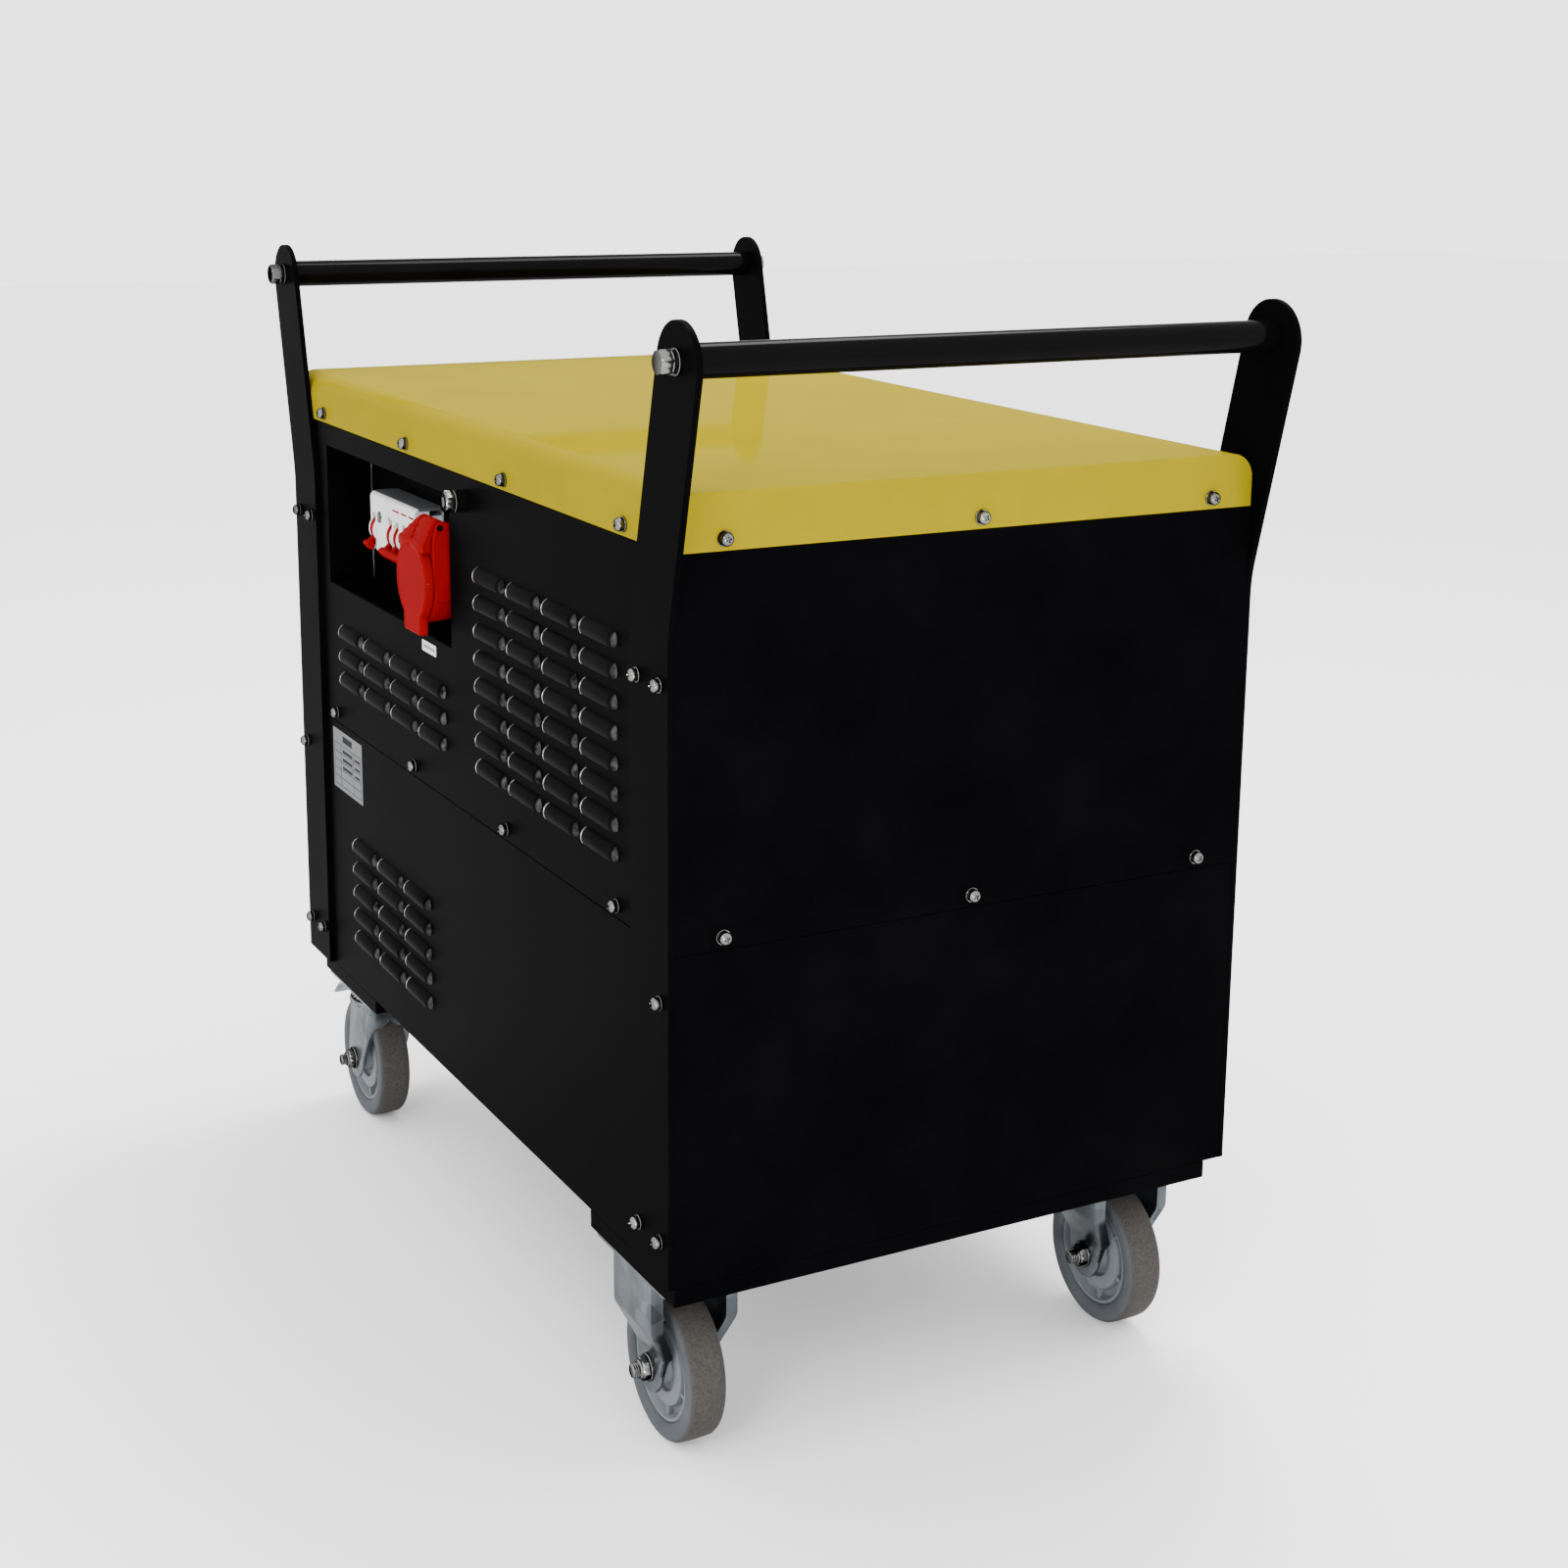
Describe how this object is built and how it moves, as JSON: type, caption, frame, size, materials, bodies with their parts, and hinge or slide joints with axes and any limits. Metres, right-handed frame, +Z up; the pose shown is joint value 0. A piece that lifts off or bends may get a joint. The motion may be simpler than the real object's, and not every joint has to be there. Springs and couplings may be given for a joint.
{
  "type": "plasma cutter unit",
  "caption": "Sheet-metal power cabinet of a plasma cutter on casters, with a push bar at each end, louvred sides and a recess holding breaker and inlet socket.",
  "frame": {"origin": "on the floor under the middle of the cabinet", "axes": "+X to the cabinet's right side, away from the inlet socket; +Y from the front end to the rear end along the cabinet; +Z up"},
  "size_m": [0.555, 0.97, 0.903],
  "materials": {
    "black_powder": "satin",
    "yellow_gloss": "gloss",
    "bar_black": "gloss",
    "zinc": "satin",
    "bright_steel": "polished",
    "frame_paint": "matte",
    "off_white": "matte",
    "red_plastic": "gloss",
    "dark_plastic": "matte",
    "grey_button": "matte",
    "brass": "satin",
    "label_silver": "satin",
    "hub_grey": "satin",
    "tyre_grey": "matte",
    "core_iron": "matte",
    "bare_aluminium": "satin",
    "board_green": "matte"
  },
  "bodies": {
    "cabinet": {"base_tray": "black_powder", "caster_rails": "black_powder", "inner_frame": "frame_paint", "front_left_post": "black_powder", "front_right_post": "black_powder", "rear_left_post": "black_powder", "rear_right_post": "black_powder", "front_handle_bar": "bar_black", "rear_handle_bar": "bar_black", "handle_bolts": "bright_steel", "case_screws": "bright_steel", "lid": "yellow_gloss", "left_upper_panel": "black_powder", "left_lower_panel": "black_powder", "right_upper_panel": "black_powder", "right_lower_panel": "black_powder", "front_upper_panel": "black_powder", "front_lower_panel": "black_powder", "rear_upper_panel": "black_powder", "rear_lower_panel": "black_powder", "recess_box": "black_powder", "din_rail": "zinc", "breaker_case": "off_white", "socket_housing": "red_plastic", "socket_insert": "dark_plastic", "socket_lid_pin": "bright_steel", "earth_stud": "bright_steel", "labels": "label_silver", "front_left_fork": "zinc", "front_right_fork": "zinc", "front_axles": "bright_steel", "rear_left_swivel_plate": "zinc", "rear_right_swivel_plate": "zinc", "caster_bolts": "bright_steel", "transformer": "core_iron", "inverter_heatsink": "bare_aluminium", "control_board": "board_green", "fan_frame": "dark_plastic", "torch_connector": "brass", "work_socket": "brass"},
    "front_left_wheel": {"front_left_hub": "hub_grey", "front_left_tyre": "tyre_grey"},
    "front_right_wheel": {"front_right_hub": "hub_grey", "front_right_tyre": "tyre_grey"},
    "rear_left_swivel": {"rear_left_fork": "zinc", "rear_left_axle": "bright_steel"},
    "rear_left_brake": {"rear_left_brake_pedal": "zinc"},
    "rear_left_wheel": {"rear_left_hub": "hub_grey", "rear_left_tyre": "tyre_grey"},
    "rear_right_swivel": {"rear_right_fork": "zinc", "rear_right_axle": "bright_steel"},
    "rear_right_brake": {"rear_right_brake_pedal": "zinc"},
    "rear_right_wheel": {"rear_right_hub": "hub_grey", "rear_right_tyre": "tyre_grey"},
    "socket_cap": {"socket_lid": "red_plastic"},
    "breaker_lever": {"breaker_toggle": "red_plastic"},
    "leakage_lever": {"leakage_toggle": "red_plastic"},
    "test_key": {"test_button": "grey_button"},
    "fan_impeller": {"fan_rotor": "dark_plastic"},
    "current_knob": {"control_knob": "dark_plastic"}
  },
  "joints": [
    {"name": "front_left_wheel_spin", "type": "hinge", "parent": "cabinet", "child": "front_left_wheel", "pos_m": [-0.216, -0.354, 0.0625], "axis": [1, 0, 0], "continuous": true},
    {"name": "front_right_wheel_spin", "type": "hinge", "parent": "cabinet", "child": "front_right_wheel", "pos_m": [0.205, -0.354, 0.0625], "axis": [1, 0, 0], "continuous": true},
    {"name": "rear_left_swivel_turn", "type": "hinge", "parent": "cabinet", "child": "rear_left_swivel", "pos_m": [-0.216, 0.33, 0.15], "axis": [0, 0, 1], "continuous": true},
    {"name": "rear_left_brake_press", "type": "hinge", "parent": "rear_left_swivel", "child": "rear_left_brake", "pos_m": [-0.216, 0.37, 0.134], "axis": [-1, 0, 0], "range_deg": [0, 12]},
    {"name": "rear_left_wheel_spin", "type": "hinge", "parent": "rear_left_swivel", "child": "rear_left_wheel", "pos_m": [-0.216, 0.372, 0.0625], "axis": [1, 0, 0], "continuous": true},
    {"name": "rear_right_swivel_turn", "type": "hinge", "parent": "cabinet", "child": "rear_right_swivel", "pos_m": [0.205, 0.33, 0.15], "axis": [0, 0, 1], "continuous": true},
    {"name": "rear_right_brake_press", "type": "hinge", "parent": "rear_right_swivel", "child": "rear_right_brake", "pos_m": [0.205, 0.37, 0.134], "axis": [-1, 0, 0], "range_deg": [0, 12]},
    {"name": "rear_right_wheel_spin", "type": "hinge", "parent": "rear_right_swivel", "child": "rear_right_wheel", "pos_m": [0.205, 0.372, 0.0625], "axis": [1, 0, 0], "continuous": true},
    {"name": "socket_lid_hinge", "type": "hinge", "parent": "cabinet", "child": "socket_cap", "pos_m": [-0.262, 0.059, 0.683], "axis": [0, 1, 0], "range_deg": [0, 110], "stiffness_Nm_per_rad": 0.05, "springref_deg": -17.19},
    {"name": "breaker_switch", "type": "hinge", "parent": "cabinet", "child": "breaker_lever", "pos_m": [-0.229, 0.182, 0.643], "axis": [0, 1, 0], "range_deg": [0, 84]},
    {"name": "leakage_switch", "type": "hinge", "parent": "cabinet", "child": "leakage_lever", "pos_m": [-0.229, 0.2622, 0.643], "axis": [0, 1, 0], "range_deg": [0, 84]},
    {"name": "test_button_press", "type": "slide", "parent": "cabinet", "child": "test_key", "axis": [1, 0, 0], "range_m": [0, 0.0015], "stiffness_N_per_m": 300, "springref_m": -0.001},
    {"name": "fan_spin", "type": "hinge", "parent": "cabinet", "child": "fan_impeller", "pos_m": [0.22, -0.2085, 0.2915], "axis": [1, 0, 0], "continuous": true},
    {"name": "current_setting", "type": "hinge", "parent": "cabinet", "child": "current_knob", "pos_m": [0, 0.44, 0.636], "axis": [0, 1, 0], "range_deg": [-135, 135]}
  ]
}
